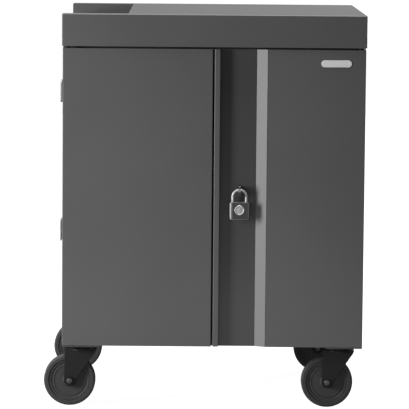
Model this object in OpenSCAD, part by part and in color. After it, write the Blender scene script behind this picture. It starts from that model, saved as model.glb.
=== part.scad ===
// Laptop charging cart: a sheet-steel cabinet on four swivel casters, with two front doors,
// a vented service door behind, two tiers of laptop bays and a power bay at the back.
// Axes: X to the right, Y to the back, Z up. Origin on the floor under the middle of the cabinet.

/* [Lid] */
// Width across the lid
lid_w = 740; // [700:1:800]
// Depth across the lid
lid_d = 680; // [650:1:740]
// Height from the floor to the top of the lid
cart_h = 970; // [945:1:1040]
// Height of the lid band
lid_h = 78.5; // [74:0.5:100]
// How far the lid reaches past the cabinet on each side
lid_reach = 2; // [1:0.5:5]
// Wall of the lid shell
lid_wall = 3; // [2:0.5:4]
// Radius along the lid's top edges
lid_edge_r = 2.5; // [2:0.5:8]
// Radius of the lid's upright corners
lid_corner_r = 3; // [2:0.5:9]

/* [Grip well] */
// Length of the well from the left end of the lid
well_w = 160; // [140:1:200]
// Width of the lid left in front of and behind the well
well_lip = 35; // [30:1:55]
// Thickness of the well's floor
well_floor_t = 3; // [2:0.5:4]
// Radius of the push grip bar
grip_r = 12; // [10:0.5:14]
// Drop from the lid's top to the top of the grip bar
grip_drop = 31; // [28:1:34]
// Set-back of the grip bar from the lid's left end
grip_inset = 3; // [2:0.5:8]
// Radius of the bolts that hold the grip bar
grip_bolt_r = 4; // [3:0.5:5]
// Length of the bolt thread inside the grip bar
grip_bolt_len = 22; // [16:1:40]
// Radius of the grip bolt's head
grip_head_r = 7; // [6:0.5:8]
// Thickness of the grip bolt's head
grip_head_t = 5; // [4:0.5:6]

/* [Frame] */
// Thickness of the side panels, shelves and partitions
sheet_t = 1.5; // [1:0.1:2]
// Side of the square frame tube
post_s = 25; // [20:1:30]
// Wall of the square frame tube
tube_wall = 1.5; // [1:0.1:2.5]
// Thickness of the base plate
base_t = 2; // [1.5:0.5:4]
// Thickness of the roof panel under the lid
roof_t = 2; // [1.5:0.5:3]
// Set-back of the base plate's corner tabs from the front of the doors
sill_back = 3; // [1:0.5:6]
// Set-back of the base plate's edge between the corner tabs
base_back = 38; // [34:1:60]
// Width of the base plate's corner tabs
tab_w = 90; // [84:1:110]
// Gap between the sheets of the left side
sheet_seam = 0.3; // [0.2:0.1:0.6]

/* [Front doors] */
// Thickness of the doors
door_t = 22; // [20:0.5:26]
// Sheet thickness of the doors
door_skin = 1.2; // [0.8:0.1:1.6]
// Gap between the two front doors
door_gap = 4; // [3:0.5:6]
// Place of the gap between the front doors, from the middle line
door_split_x = -1; // [-12:1:12]
// Gap between the door tops and the lid
door_head_gap = 5; // [3:0.5:7]
// Gap between the door bottoms and the base plate
door_foot_gap = 1.5; // [1.2:0.1:4]
// Gap between the frame and a door's corner as the door turns past it
door_back_gap = 1; // [0.5:0.5:3]
// Radius on the upright edges of the doors
door_edge_r = 2; // [1.5:0.5:3]
// Length of the solid block that holds the pivots in a door
hinge_block = 14; // [13:0.5:20]
// Radius of the door pivot pins
pivot_r = 4; // [3:0.5:5]
// Depth that a pivot pin reaches into a door
pivot_grip = 14; // [10:1:24]
// Radius of the collar on a pivot pin
collar_r = 7; // [6:0.5:9]
// Width of a magnetic catch
catch_w = 40; // [30:1:60]
// Height of a magnetic catch
catch_h = 16; // [12:1:20]
// Depth of a magnetic catch
catch_d = 18; // [14:1:24]
// Thickness of a strike plate
strike_t = 1; // [0.8:0.1:1.2]
// Distance from the door gap to a catch
catch_in = 12; // [8:1:30]

/* [Lock recess] */
// Flat strip between the door's free edge and the recess
lock_strip_w = 13; // [12:1:30]
// Width of the recess floor
recess_w = 89; // [75:1:110]
// Depth of the recess
recess_d = 14; // [10:0.5:16]
// Width of the recess's sloped side
slope_w = 28; // [20:0.5:40]
// Thickness of the accent strip on the sloped side
accent_t = 1; // [0.8:0.1:1.5]
// Margin left along both edges of the sloped side
accent_margin = 1.5; // [1:0.5:4]
// Width of the bare plate on the right door
badge_w = 74; // [60:1:90]
// Height of the bare plate
badge_h = 17; // [12:1:24]
// Thickness of the bare plate
badge_t = 1.5; // [1:0.1:2.5]
// Middle of the bare plate, from the hinge side of the door
badge_in = 72; // [60:1:120]
// Middle of the bare plate, below the top of the door
badge_drop = 33; // [20:1:60]

/* [Padlock] */
// Middle of the staple, from the left side of the recess
staple_in = 50; // [40:1:56]
// Thickness of the staple's tab
staple_t = 5; // [4:0.5:6]
// Middle of the staple's hole, below the top of the door
staple_drop = 343; // [250:1:450]
// Height of the staple's tab above its hole's middle
staple_head = 10; // [8:0.5:14]
// Height of the staple's tab below its hole's middle
staple_tail = 16; // [12:0.5:18]
// Metal left in front of the staple's hole
staple_wall = 6; // [4:0.5:8]
// Corner radius of the staple's tab
staple_round = 4; // [2:0.5:5]
// Width of the staple's foot plate
staple_foot_w = 30; // [24:1:36]
// Height of the staple's foot plate
staple_foot_h = 52; // [44:1:70]
// Thickness of the staple's foot plate
staple_foot_t = 2; // [1.5:0.5:3]
// Width of the padlock body
lock_w = 48; // [44:1:56]
// Height of the padlock body
lock_h = 42; // [38:1:50]
// Thickness of the padlock body
lock_t = 21; // [18:0.5:24]
// Corner radius of the padlock body
lock_corner_r = 6; // [4:0.5:8]
// Radius on the padlock's front and back edges
lock_edge_r = 4; // [2:0.5:6]
// Radius of the shackle's rod
rod_r = 3.3; // [2.5:0.1:3.8]
// Width across the shackle, rod middle to rod middle
shackle_span = 33; // [28:0.5:36]
// Clear height inside the shackle above the body
shackle_clear = 26; // [24:1:40]
// Depth of the shackle's short leg in the body
toe_grip = 8; // [6:0.5:9]
// Depth of the shackle's long leg in the body
heel_grip = 30; // [24:1:34]
// Radius of the plain disc on the padlock's face
disc_r = 12; // [10:0.5:15]
// Thickness of the disc
disc_t = 1.4; // [1:0.1:2]
// Middle of the disc, above the bottom of the body
disc_up = 23; // [18:0.5:24]
// Radius of the key plug
plug_r = 6.5; // [5:0.5:7.5]
// Depth of the key plug in the body
plug_grip = 10; // [8:0.5:12]
// Height of the key plug's face below the body
plug_proud = 0.6; // [0.4:0.1:1]
// Width of the keyway
keyway_w = 1.6; // [1.2:0.1:2]
// Length of the keyway
keyway_l = 8; // [6:0.5:9]
// Depth of the keyway
keyway_d = 6; // [4:0.5:8]

/* [Rear door] */
// Length of a vent slot
vent_l = 90; // [60:1:95]
// Height of a vent slot
vent_h = 6; // [4:0.5:7]
// Distance from one vent slot to the next
vent_pitch = 16; // [12:1:20]
// Vent slots in a column
vent_rows = 8; // [4:1:10]
// Distance of each vent column from the middle line
vent_column_x = 130; // [80:1:180]
// Distance from the door's top or bottom to the first vent slot
vent_end = 60; // [40:1:90]
// Distance from the door's free edge to the lock
cam_lock_in = 68; // [62:1:90]
// Height of the lock above the bottom of the door
cam_lock_up = 362; // [300:1:420]
// Radius of the lock's case
lock_case_r = 9.5; // [8.5:0.5:11]
// Radius of the lock's flange
lock_flange_r = 13; // [12:0.5:15]
// Thickness of the lock's flange
lock_flange_t = 2; // [1:0.5:2]
// Radius of the lock's turning plug
cam_plug_r = 6; // [5:0.5:7]
// Length of the cam from the lock's axis
cam_l = 36; // [33:1:38]
// Width of the cam
cam_w = 14; // [12:1:16]
// Thickness of the cam
cam_t = 3; // [2:0.5:4]
// Height of the keeper behind which the cam turns
keeper_h = 40; // [34:1:60]
// Reach of the keeper past the post
keeper_reach = 20; // [18:1:22]
// Thickness of the keeper
keeper_t = 2; // [1.5:0.5:2.5]

/* [Laptop bays] */
// Bays in a tier
bays = 12; // [8:1:14]
// Thickness of a divider
divider_t = 2.5; // [2:0.5:4]
// Height of a divider
divider_h = 250; // [180:1:270]
// Radius of a divider's upper front corner
divider_round = 60; // [30:1:90]
// Set-back of the dividers from the front posts
divider_back = 8; // [4:1:40]
// Height of the lower tier
tier_h = 343; // [325:1:345]
// Gap left above a partition for the charging leads
lead_gap = 45; // [35:1:60]
// Depth of the power bay behind the partitions
power_bay_d = 178; // [150:1:200]
// Leg of the angles that carry the middle shelf
angle_leg = 20; // [15:1:25]
// Thickness of those angles
angle_t = 2; // [1.5:0.5:3]

/* [Power] */
// Clear space at each end of a power strip
strip_margin = 28; // [20:1:60]
// Height of a power strip
strip_h = 46; // [42:1:60]
// Depth of a power strip
strip_d = 36; // [28:1:45]
// Distance from a partition's top to its power strip
strip_drop = 20; // [10:1:40]
// Width of an outlet face
outlet_w = 36; // [30:1:40]
// Height of an outlet face
outlet_h = 34; // [28:1:38]
// How far an outlet face stands out of the strip
outlet_t = 4; // [2:0.5:6]
// Width of the charge controller
controller_w = 150; // [120:1:180]
// Depth of the charge controller
controller_d = 90; // [70:1:100]
// Height of the charge controller
controller_h = 110; // [80:1:150]
// Distance of the controller from the left panel
controller_in = 50; // [45:1:80]
// Distance of the controller from the back of the shelf
controller_back = 10; // [5:1:15]
// Middle of the power inlet, in front of the rear frame
inlet_in = 80; // [60:1:120]
// Height of the power inlet's middle above the base plate
inlet_up = 160; // [120:1:260]
// Width of the inlet's body
inlet_w = 29; // [28:0.5:34]
// Height of the inlet's body
inlet_h = 56; // [54:1:66]
// Depth of the inlet's body inside the cabinet
inlet_depth = 32; // [24:1:40]
// Rim of the inlet's flange round its body
inlet_rim = 5; // [4:0.5:8]
// Thickness of the inlet's flange
inlet_flange_t = 3; // [2:0.5:4]
// Width of the inlet's socket
socket_w = 22; // [20:0.5:23]
// Height of the inlet's socket
socket_h = 16; // [15:0.5:17]
// Depth of the inlet's socket
socket_depth = 15; // [12:1:18]
// Middle of the socket, below the inlet's middle
socket_down = 15; // [14:0.5:17]
// Half length of the rocker switch
rocker_half = 9; // [8:0.5:10]
// Width of the rocker switch
rocker_w = 13; // [11:0.5:15]
// Depth of the rocker below its pivot
rocker_depth = 6; // [5:0.5:8]
// Rise of the rocker's ends above its pivot
rocker_rise = 4.5; // [4:0.1:5.5]
// Middle of the rocker, above the inlet's middle
rocker_up = 13; // [12:0.5:15]
// Depth of the rocker's pivot below the flange's face
rocker_pivot_in = 3; // [2.5:0.1:4]
// Dip of the rocker's face between its ends
rocker_dip = 1.5; // [0.5:0.1:2]
// Tilt of the rocker each way
rocker_tilt = 8; // [6:1:10]

/* [Cord hooks] */
// How far the cord hooks stand out of the left side
hook_out = 25; // [18:0.5:28]
// Height of a hook's lip
hook_h = 57; // [48:1:70]
// Width of a hook
hook_w = 46; // [36:1:60]
// Thickness of a hook's lip and arm
hook_t = 4; // [3:0.5:5]
// Thickness of a hook's foot
hook_foot_t = 2.5; // [2:0.5:3]
// Corner radius of a hook's foot and lip
hook_round = 8; // [4:0.5:12]
// Middle of the hooks, behind the front of the doors
hook_y = 450; // [380:1:500]
// Height of the upper hook's middle
upper_hook_z = 752; // [700:1:800]
// Height of the lower hook's middle
lower_hook_z = 392; // [360:1:450]

/* [Casters] */
// Diameter of the wheels
wheel_d = 127; // [110:1:135]
// Width of the tread
tread_w = 32; // [28:1:40]
// Thickness of the tread
tread_t = 12; // [9:0.5:15]
// Radius on the tread's shoulders
tread_round = 5; // [3:0.5:7]
// Distance of the axle from the swivel axis
caster_trail = 33; // [28:1:38]
// Distance of the swivel axis from the cabinet's side
caster_in_x = 50; // [46:1:80]
// Distance of the swivel axis from the cabinet's front or back
caster_in_y = 70; // [60:1:110]
// Room between the wheel and the fork's crown
wheel_clear = 11; // [10:0.5:16]
// Thickness of the fork's crown
crown_t = 5; // [4:0.5:7]
// Radius of the fork's crown
crown_r = 34; // [31:0.5:37]
// Height of the ball race on the crown
race_h = 6; // [5.5:0.5:12]
// Outer radius of the ball race
race_r = 29; // [25:0.5:30]
// Thickness of the caster's top plate
plate_t = 5; // [4:0.5:6]
// Width of the caster's top plate
plate_w = 62; // [60:1:70]
// Depth of the caster's top plate
plate_d = 92; // [90:1:100]
// Distance between the plate's bolts, across
bolt_span_x = 45; // [42:1:46]
// Distance between the plate's bolts, front to back
bolt_span_y = 73; // [70:1:76]
// Radius of the plate bolts
bolt_r = 4; // [3:0.5:5]
// Radius of the kingpin
king_r = 6; // [5:0.5:8]
// Radius of the kingpin's head
king_head_r = 11; // [9:0.5:12]
// Thickness of the kingpin's head
king_head_t = 5; // [4:0.5:6]
// Room between the wheel and a fork leg
leg_gap = 3; // [2:0.5:5]
// Thickness of a fork leg
leg_t = 4; // [3:0.5:5]
// Radius of a fork leg round the axle
boss_r = 14; // [12:0.5:17]
// Radius of the axle bolt
axle_r = 5; // [4:0.5:6]
// Radius of the hub's boss
hub_boss_r = 15; // [12:0.5:18]
// Inset of the hub's web from the rim's sides
web_inset = 1.5; // [0.5:0.5:8]
// Thickness of the hub's rim
rim_t = 7; // [5:0.5:9]
// Inset of the hub's rim from the tread's sides
rim_inset = 2; // [1:0.5:4]
// Radius of the axle bolt's head, corner to middle
axle_head_r = 9; // [8:0.5:11]
// Thickness of the axle bolt's head and nut
axle_head_t = 6; // [5:0.5:8]
// Radius of a plate bolt's head, corner to middle
bolt_head_r = 7; // [6:0.5:8]
// Thickness of a plate bolt's head
bolt_head_t = 4.5; // [3:0.5:5]
// Corner radius of the caster's top plate
plate_corner_r = 8; // [4:0.5:10]
// Narrowing of a fork leg on its leading side
leg_lead_in = 4; // [0:0.5:8]
// Drop of a fork leg's leading corner below the crown
leg_lead_drop = 4; // [2:1:28]
// Widening of a fork leg on its trailing side
leg_trail_out = 10; // [0:0.5:14]

/* [Brakes] */
// Width of the brake pedal
pedal_w = 28; // [22:1:32]
// Length of the brake pedal from its pin
pedal_l = 86; // [76:1:92]
// Thickness of the brake pedal
pedal_t = 4.5; // [4:0.5:5]
// Drop of the pedal's top below its pin
pedal_drop = 1.2; // [1:0.1:1.6]
// Radius of the brake pedal's pin
pedal_pin_r = 2.5; // [2:0.5:3]
// Radius of the pedal round its pin
pedal_boss_r = 4; // [3.5:0.5:4.5]
// Distance of the pedal's pin behind the swivel axis
pedal_pin_back = 24; // [22:0.5:26]
// Distance of the pedal's pin below the crown
pedal_pin_drop = 5.5; // [5:0.5:6]
// Distance from the pin to the brake shoe
shoe_in = 28; // [26:1:30]
// Length of the brake shoe
shoe_w = 8; // [6:1:10]
// Drop of the brake shoe's face below the pin
shoe_drop = 12.5; // [11.5:0.1:12.8]
// Length of the foot pad
pad_l = 26; // [20:1:32]
// Rise of the foot pad
pad_rise = 5; // [3:0.5:8]

/* [Clearances] */
// Gap round a turning pin
pin_clear = 0.05; // [0.03:0.01:0.1]
// Gap round a bolt or a seated piece
seat_clear = 0.2; // [0.1:0.05:0.4]
// Gap between pieces that pass each other
pass_clear = 0.5; // [0.4:0.1:1]

/* [Hidden] */
$fn = 64;
over = 1;

paint = "#55575a";
paint_inside = "#6a6c6f";
light_grey = "#b4b6b8";
steel = "#a8aaac";
black = "#242526";
dark = "#3a3b3d";

cab_w = lid_w - 2 * lid_reach;
cab_d = lid_d - 2 * lid_reach;
side_x = cab_w / 2;
inside_x = side_x - sheet_t;
front_y = -cab_d / 2;
back_y = cab_d / 2;

caster_h = wheel_d + wheel_clear + crown_t + race_h + pass_clear + plate_t;
base_z = caster_h;
base_top = base_z + base_t;
lid_z = cart_h - lid_h;
roof_top = lid_z + roof_t;

door_axis_x = side_x - door_t / 2;
door_axis_y = front_y + door_t / 2;
door_z = base_top + door_foot_gap;
door_top = lid_z - door_head_gap;
door_h = door_top - door_z;
left_reach = door_axis_x + door_split_x - door_gap / 2;
right_reach = door_axis_x - door_split_x - door_gap / 2;
rear_reach = door_axis_x + side_x;
door_swing_r = sqrt(2) * (door_t / 2 - door_edge_r) + door_edge_r;
frame_front = door_axis_y + door_swing_r + door_back_gap;
frame_back = -frame_front;

well_x = -lid_w / 2 + well_w;
well_half_d = lid_d / 2 - well_lip;
well_floor = roof_top + well_floor_t;
grip_x = -lid_w / 2 + grip_inset + grip_r;
grip_z = cart_h - grip_drop - grip_r;

recess_x = door_split_x + door_gap / 2 + lock_strip_w;
slope_x = recess_x + recess_w;
panel_x = slope_x + slope_w;
recess_y = front_y + recess_d;
slope_len = sqrt(slope_w * slope_w + recess_d * recess_d);
slope_shift = door_skin * (slope_len - slope_w) / recess_d;

staple_x = recess_x + staple_in;
rod_z = door_top - staple_drop;
rod_y = recess_y - 2 * pass_clear - lock_t / 2;
staple_hole_r = rod_r + pass_clear;
arc_r = shackle_span / 2;
arc_z = rod_z - arc_r;
lock_top = rod_z - rod_r - shackle_clear;
lock_bottom = lock_top - lock_h;

cam_lock_x = -side_x + cam_lock_in;
cam_lock_z = door_z + cam_lock_up;
keeper_y = frame_back - keeper_t;
cam_y = keeper_y - 2 * pass_clear - cam_t;

floor_z = base_top + post_s;
floor_top = floor_z + sheet_t;
shelf_z = floor_top + tier_h;
shelf_top = shelf_z + sheet_t;
shelf_front = frame_front + post_s;
shelf_back = frame_back - post_s;
shelf_half_w = inside_x - seat_clear;
partition_y = shelf_back - power_bay_d;
lower_partition_top = shelf_z - lead_gap;
upper_partition_top = lid_z - post_s - lead_gap;
bay_pitch = 2 * shelf_half_w / bays;
divider_front = shelf_front + divider_back;
divider_d = partition_y - seat_clear - divider_front;
strip_y = partition_y + sheet_t;
strip_half = shelf_half_w - strip_margin;
strip_tops = [lower_partition_top - strip_drop, upper_partition_top - strip_drop];
catch_y = front_y + door_t + strike_t + pass_clear;
catch_top = lid_z - post_s;

inlet_y = frame_back - inlet_in;
inlet_z = base_top + inlet_up;
inlet_face = -side_x - inlet_flange_t;
pocket_half = rocker_half + rocker_depth * sin(rocker_tilt) + pass_clear;
pocket_depth = rocker_pivot_in + rocker_depth + rocker_half * sin(rocker_tilt) + over;

wheel_r = wheel_d / 2;
crown_z = wheel_d + wheel_clear;
crown_top = crown_z + crown_t;
race_top = crown_top + race_h;
plate_z = caster_h - plate_t;
leg_in = tread_w / 2 + leg_gap;
leg_out = leg_in + leg_t;
hub_r = wheel_r - tread_t;
hub_half = leg_in - pass_clear;
caster_x = side_x - caster_in_x;
caster_y = cab_d / 2 - caster_in_y;
rim_half = tread_w / 2 - rim_inset;
web_half = rim_half - web_inset;
pedal_z = crown_z - pedal_pin_drop;
pedal_under = -pedal_drop - pedal_t;

module block(low, high) {
    translate(low) cube(high - low);
}

module round_rect(w, d, r) {
    square([w - 2 * r, d], center = true);
    square([w, d - 2 * r], center = true);
    for (sx = [-1, 1], sy = [-1, 1]) translate([sx * (w / 2 - r), sy * (d / 2 - r)]) circle(r);
}

module arch_rect(w, h, r) {
    translate([-w / 2, 0]) square([w, h - r]);
    translate([-w / 2 + r, 0]) square([w - 2 * r, h]);
    for (sx = [-1, 1]) translate([sx * (w / 2 - r), h - r]) circle(r);
}

module along_y(length) {
    rotate([90, 0, 0]) linear_extrude(length, center = true) children();
}

module y_cylinder(r, y0, y1) {
    translate([0, y1, 0]) rotate([90, 0, 0]) cylinder(r = r, h = y1 - y0);
}

module slot_shape(length, height) {
    square([length - height, height], center = true);
    for (s = [-1, 1]) translate([s * (length - height) / 2, 0]) circle(height / 2);
}

// Frame

module square_tube(length) {
    difference() {
        cube([post_s, post_s, length], center = true);
        cube([post_s - 2 * tube_wall, post_s - 2 * tube_wall, length + 2 * over], center = true);
    }
}

module pivot_places() {
    for (sx = [-1, 1]) translate([sx * door_axis_x, door_axis_y, 0]) children();
    translate([door_axis_x, -door_axis_y, 0]) children();
}

module caster_places() {
    for (sx = [-1, 1], sy = [-1, 1]) translate([sx * caster_x, sy * caster_y, 0]) children();
}

module bolt_places() {
    for (sx = [-1, 1], sy = [-1, 1])
        translate([sx * bolt_span_x / 2, sy * bolt_span_y / 2, 0]) children();
}

module base_plate() {
    color(paint) difference() {
        union() {
            block([-side_x, front_y + base_back, base_z], [side_x, back_y - base_back, base_top]);
            for (x = [-side_x, side_x - tab_w])
                block([x, front_y + sill_back, base_z], [x + tab_w, back_y - sill_back, base_top]);
        }
        translate([0, 0, base_z - over]) {
            pivot_places() cylinder(r = pivot_r + pin_clear, h = base_t + 2 * over);
            caster_places() bolt_places() cylinder(r = bolt_r + seat_clear, h = base_t + 2 * over);
        }
    }
}

module roof_panel() {
    half_w = lid_w / 2 - lid_wall - pass_clear;
    half_d = lid_d / 2 - lid_wall - pass_clear;
    color(paint_inside) difference() {
        block([-half_w, -half_d, lid_z], [half_w, half_d, roof_top]);
        translate([0, 0, lid_z - over]) pivot_places()
            cylinder(r = pivot_r + pin_clear, h = roof_t + 2 * over);
    }
}

module corner_posts() {
    height = lid_z - base_top;
    color(paint_inside) for (sx = [-1, 1], sy = [-1, 1])
        translate([sx * (inside_x - post_s / 2), sy * (frame_back - post_s / 2), base_top + height / 2])
            square_tube(height);
}

module cross_rails() {
    rail_x = inside_x - post_s / 2;
    rail_y = frame_back - post_s / 2;
    color(paint_inside) for (z = [base_top + post_s / 2, lid_z - post_s / 2], s = [-1, 1]) {
        translate([0, s * rail_y, z]) rotate([0, 90, 0]) square_tube(2 * (inside_x - post_s));
        translate([s * rail_x, 0, z]) rotate([90, 0, 0]) square_tube(2 * (frame_back - post_s));
    }
}

module side_sheet(y_from, y_to, z_from, z_to) {
    block([inside_x, y_from, z_from], [side_x, y_to, z_to]);
}

module right_side_panel() {
    color(paint) side_sheet(frame_front, frame_back, base_top, lid_z);
}

// Two sheets with a narrow cover between them, which leaves the power inlet free
module left_side_panel() {
    cover_front = inlet_y - inlet_w / 2 - seat_clear;
    cover_back = inlet_y + inlet_w / 2 + seat_clear;
    inlet_room = inlet_h / 2 + seat_clear;
    color(paint) mirror([1, 0, 0]) {
        side_sheet(frame_front, cover_front - sheet_seam, base_top, lid_z);
        side_sheet(cover_back + sheet_seam, frame_back, base_top, lid_z);
        side_sheet(cover_front, cover_back, base_top, inlet_z - inlet_room);
        side_sheet(cover_front, cover_back, inlet_z + inlet_room, lid_z);
    }
}

// Lid and push grip

module lid_blank() {
    intersection() {
        linear_extrude(lid_h) round_rect(lid_w, lid_d, lid_corner_r);
        along_y(lid_d + 2 * over) arch_rect(lid_w, lid_h, lid_edge_r);
        rotate([0, 0, 90]) along_y(lid_w + 2 * over) arch_rect(lid_d, lid_h, lid_edge_r);
    }
}

module lid_hollow() {
    well_outer = well_half_d + lid_wall;
    half_w = lid_w / 2 - lid_wall;
    half_d = lid_d / 2 - lid_wall;
    difference() {
        block([-half_w, -half_d, lid_z - over], [half_w, half_d, cart_h - lid_wall]);
        block([-lid_w / 2, -well_outer, roof_top], [well_x + lid_wall, well_outer, cart_h]);
    }
}

module lid() {
    reach = well_half_d + lid_wall + over;
    color(paint) difference() {
        translate([0, 0, lid_z]) lid_blank();
        lid_hollow();
        block([-lid_w / 2 - over, -well_half_d, well_floor], [well_x, well_half_d, cart_h + over]);
        translate([grip_x, 0, grip_z]) y_cylinder(grip_bolt_r + seat_clear, -reach, reach);
    }
}

module grip_bar() {
    color(black) translate([grip_x, 0, grip_z]) difference() {
        y_cylinder(grip_r, -well_half_d, well_half_d);
        for (s = [0, 1]) mirror([0, s, 0])
            y_cylinder(grip_bolt_r + seat_clear, well_half_d - grip_bolt_len - over, well_half_d + over);
    }
}

module grip_bolts() {
    seat = well_half_d + lid_wall;
    color(steel) translate([grip_x, 0, grip_z]) for (s = [0, 1]) mirror([0, s, 0]) {
        y_cylinder(grip_bolt_r, well_half_d - grip_bolt_len, seat + grip_head_t);
        y_cylinder(grip_head_r, seat, seat + grip_head_t);
    }
}

// Shelves and laptop bays

module shelf_sheet(z) {
    block([-shelf_half_w, shelf_front, z], [shelf_half_w, shelf_back, z + sheet_t]);
}

module floor_shelf() {
    color(paint_inside) shelf_sheet(floor_z);
}

module middle_shelf() {
    color(paint_inside) shelf_sheet(shelf_z);
}

module shelf_angles() {
    color(paint_inside) for (s = [0, 1]) mirror([s, 0, 0]) {
        block([inside_x - angle_t, shelf_front, shelf_z - angle_leg], [inside_x, shelf_back, shelf_z]);
        block([inside_x - angle_leg, shelf_front, shelf_z - angle_t], [inside_x, shelf_back, shelf_z]);
    }
}

module partition(z0, z1) {
    block([-shelf_half_w, partition_y, z0], [shelf_half_w, partition_y + sheet_t, z1]);
}

module partitions() {
    color(paint_inside) {
        partition(floor_top, lower_partition_top);
        partition(shelf_top, upper_partition_top);
    }
}

module divider_outline() {
    square([divider_d, divider_h - divider_round]);
    translate([divider_round, 0]) square([divider_d - divider_round, divider_h]);
    translate([divider_round, divider_h - divider_round]) circle(divider_round);
}

module bay_dividers() {
    color(dark) for (z = [floor_top, shelf_top], i = [1 : bays - 1])
        translate([-shelf_half_w + i * bay_pitch, divider_front, z])
            rotate([90, 0, 90]) linear_extrude(divider_t, center = true) divider_outline();
}

// Power bay

module power_strips() {
    color(light_grey) for (top = strip_tops)
        block([-strip_half, strip_y, top - strip_h], [strip_half, strip_y + strip_d, top]);
}

module power_outlets() {
    pitch = 2 * strip_half / bays;
    color(dark) for (top = strip_tops, i = [0 : bays - 1])
        translate([-strip_half + (i + 0.5) * pitch, strip_y + strip_d + outlet_t / 2, top - strip_h / 2])
            cube([outlet_w, outlet_t, outlet_h], center = true);
}

module charge_controller() {
    x = -inside_x + controller_in;
    y = shelf_back - controller_back;
    color(light_grey) translate([x, y - controller_d, floor_top])
        cube([controller_w, controller_d, controller_h]);
}

// A socket unit and a switch unit, one above the other in the same cut-out
module power_inlet() {
    flange_w = inlet_w + 2 * inlet_rim;
    flange_h = inlet_h + 2 * inlet_rim;
    unit_split = (rocker_up - pocket_half - socket_down + socket_h / 2) / 2;
    color(black) translate([0, inlet_y, inlet_z]) difference() {
        union() {
            translate([inlet_face, -flange_w / 2, -flange_h / 2])
                cube([inlet_flange_t, flange_w, flange_h]);
            translate([-side_x, -inlet_w / 2, -inlet_h / 2]) cube([inlet_depth, inlet_w, inlet_h]);
        }
        translate([inlet_face, 0, -socket_down])
            cube([2 * socket_depth, socket_w, socket_h], center = true);
        translate([inlet_face, 0, rocker_up])
            cube([2 * pocket_depth, rocker_w + 2 * pass_clear, 2 * pocket_half], center = true);
        translate([-side_x, 0, unit_split])
            cube([2 * (inlet_depth + over), flange_w + 2 * over, seat_clear], center = true);
    }
}

module power_rocker() {
    face = [[-rocker_rise, rocker_half], [rocker_dip - rocker_rise, 0], [-rocker_rise, -rocker_half]];
    back = [[rocker_depth, -rocker_half], [rocker_depth, rocker_half]];
    color(dark) translate([inlet_face + rocker_pivot_in, inlet_y, inlet_z + rocker_up])
        rotate([0, rocker_tilt, 0]) along_y(rocker_w) polygon(concat(face, back));
}

// Cord hooks on the left side

module hook_plate(x, t) {
    translate([x, 0, 0]) rotate([90, 0, 90]) linear_extrude(t) round_rect(hook_w, hook_h, hook_round);
}

module cord_hook() {
    arm_half = hook_w / 2 - hook_round;
    hook_plate(-hook_foot_t, hook_foot_t);
    hook_plate(-hook_out, hook_t);
    block([-hook_out, -arm_half, -hook_h / 2], [0, arm_half, -hook_h / 2 + hook_t]);
}

module cord_hooks() {
    color(light_grey) {
        translate([-side_x, front_y + hook_y, upper_hook_z]) cord_hook();
        translate([-side_x, front_y + hook_y, lower_hook_z]) mirror([0, 0, 1]) cord_hook();
    }
}

// Doors, drawn with the pivot axis at the origin, reaching to +X, with the back towards +Y

module door_plan(reach) {
    half_t = door_t / 2;
    translate([(reach - half_t) / 2, 0]) round_rect(reach + half_t, door_t, door_edge_r);
}

module pivot_bores() {
    depth = pivot_grip + over;
    for (z = [0, door_h]) translate([0, 0, z])
        cylinder(r = pivot_r + pin_clear, h = 2 * depth, center = true);
}

module door_shell(reach) {
    half_t = door_t / 2;
    hollow_top = door_h - door_skin;
    difference() {
        linear_extrude(door_h) door_plan(reach);
        block([hinge_block, door_skin - half_t, door_skin], [reach - door_skin, door_t, hollow_top]);
        pivot_bores();
    }
}

module door_liner(reach) {
    inset = door_skin + seat_clear;
    half_t = door_t / 2;
    block([hinge_block + seat_clear, half_t - door_skin, inset], [reach - inset, half_t, door_h - inset]);
}

module at_left_door() {
    translate([-door_axis_x, door_axis_y, door_z]) children();
}

module at_right_door() {
    translate([door_axis_x, door_axis_y, door_z]) mirror([1, 0, 0]) children();
}

module at_rear_door() {
    translate([door_axis_x, -door_axis_y, door_z]) rotate(180) children();
}

module left_door_panel() {
    color(paint) at_left_door() door_shell(left_reach);
}

module left_door_liner() {
    color(paint_inside) at_left_door() door_liner(left_reach);
}

module recess_plan() {
    lip_y = front_y - over;
    polygon([
        [recess_x, lip_y], [recess_x, recess_y], [slope_x, recess_y],
        [panel_x, front_y], [panel_x, lip_y]
    ]);
}

module right_door_hollow() {
    edge_x = door_split_x + door_gap / 2 + door_skin;
    wall_x = recess_x - door_skin;
    skin_y = front_y + door_skin;
    deep_y = recess_y + door_skin;
    hinge_x = door_axis_x - hinge_block;
    open_y = front_y + door_t + over;
    polygon([
        [edge_x, skin_y], [wall_x, skin_y], [wall_x, deep_y], [slope_x + slope_shift, deep_y],
        [panel_x + slope_shift, skin_y], [hinge_x, skin_y], [hinge_x, open_y], [edge_x, open_y]
    ]);
}

module right_door_panel() {
    color(paint) difference() {
        at_right_door() linear_extrude(door_h) door_plan(right_reach);
        at_right_door() pivot_bores();
        translate([0, 0, door_z - over]) linear_extrude(door_h + 2 * over) recess_plan();
        translate([0, 0, door_z + door_skin]) linear_extrude(door_h - 2 * door_skin) right_door_hollow();
        staple_slot();
    }
}

module right_door_liner() {
    color(paint_inside) at_right_door() door_liner(right_reach);
}

module accent_strip() {
    run = [slope_w, -recess_d] / slope_len;
    out = [-recess_d, -slope_w] / slope_len;
    low = [slope_x, recess_y] + accent_margin * run;
    high = [panel_x, front_y] - accent_margin * run;
    color(light_grey) translate([0, 0, door_z]) linear_extrude(door_h)
        polygon([low, high, high + accent_t * out, low + accent_t * out]);
}

module bare_plate() {
    color(light_grey) translate([side_x - badge_in, front_y - badge_t / 2, door_top - badge_drop])
        along_y(badge_t) slot_shape(badge_w, badge_h);
}

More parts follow.
